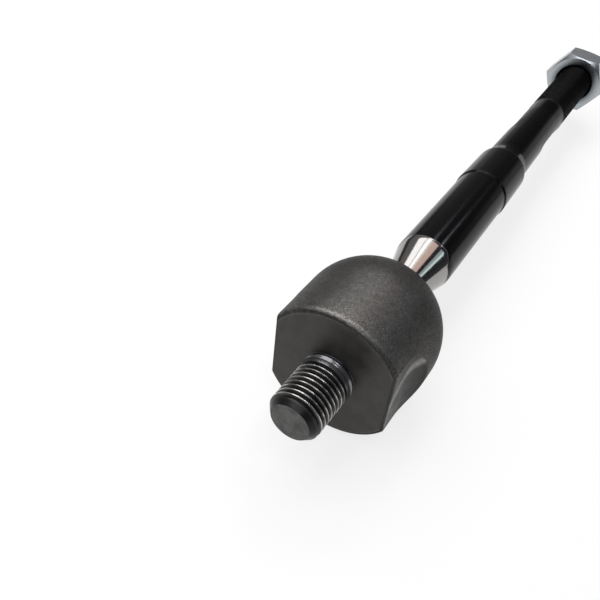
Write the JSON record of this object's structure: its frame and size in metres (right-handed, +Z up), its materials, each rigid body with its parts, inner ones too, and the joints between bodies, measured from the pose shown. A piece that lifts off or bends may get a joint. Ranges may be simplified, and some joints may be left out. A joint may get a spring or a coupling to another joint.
{
  "type": "inner tie rod",
  "caption": "Axial ball joint for a steering rack: a threaded stud on a round socket, and a stepped rod with wrench flats, thread and jam nut.",
  "frame": {"origin": "centre of the socket's shoulder face, which seats on the steering rack", "axes": "+X along the rod from socket to thread, -X along the rack stud, +Z up, the socket's wrench flats face +Y and -Y"},
  "size_m": [0.24, 0.039, 0.039],
  "materials": {
    "forged_steel": "shot-blasted and phosphated forging, dark grey",
    "black_rod": "glossy black coat on turned steel, with a bare polished cone and ball",
    "zinc_nut": "bright zinc plate with a bluish tone",
    "race_polymer": "moulded acetal, off-white"
  },
  "bodies": {
    "socket": {"socket_housing": "forged_steel"},
    "race": {"ball_race": "race_polymer"},
    "pad": {"pressure_pad": "race_polymer"},
    "rod": {"tie_rod": "black_rod"},
    "nut": {"jam_nut": "zinc_nut"}
  },
  "joints": [
    {"name": "rod_spin", "type": "hinge", "parent": "socket", "child": "race", "pos_m": [0.021, 0, 0], "axis": [1, 0, 0], "continuous": true},
    {"name": "swing_about_y", "type": "hinge", "parent": "race", "child": "pad", "pos_m": [0.021, 0, 0], "axis": [0, 1, 0], "range_deg": [-16, 16]},
    {"name": "swing_about_z", "type": "hinge", "parent": "pad", "child": "rod", "pos_m": [0.021, 0, 0], "axis": [0, 0, 1], "range_deg": [-16, 16]},
    {"name": "nut_travel", "type": "slide", "parent": "rod", "child": "nut", "axis": [1, 0, 0], "range_m": [-0.0375, 0.0052]}
  ]
}
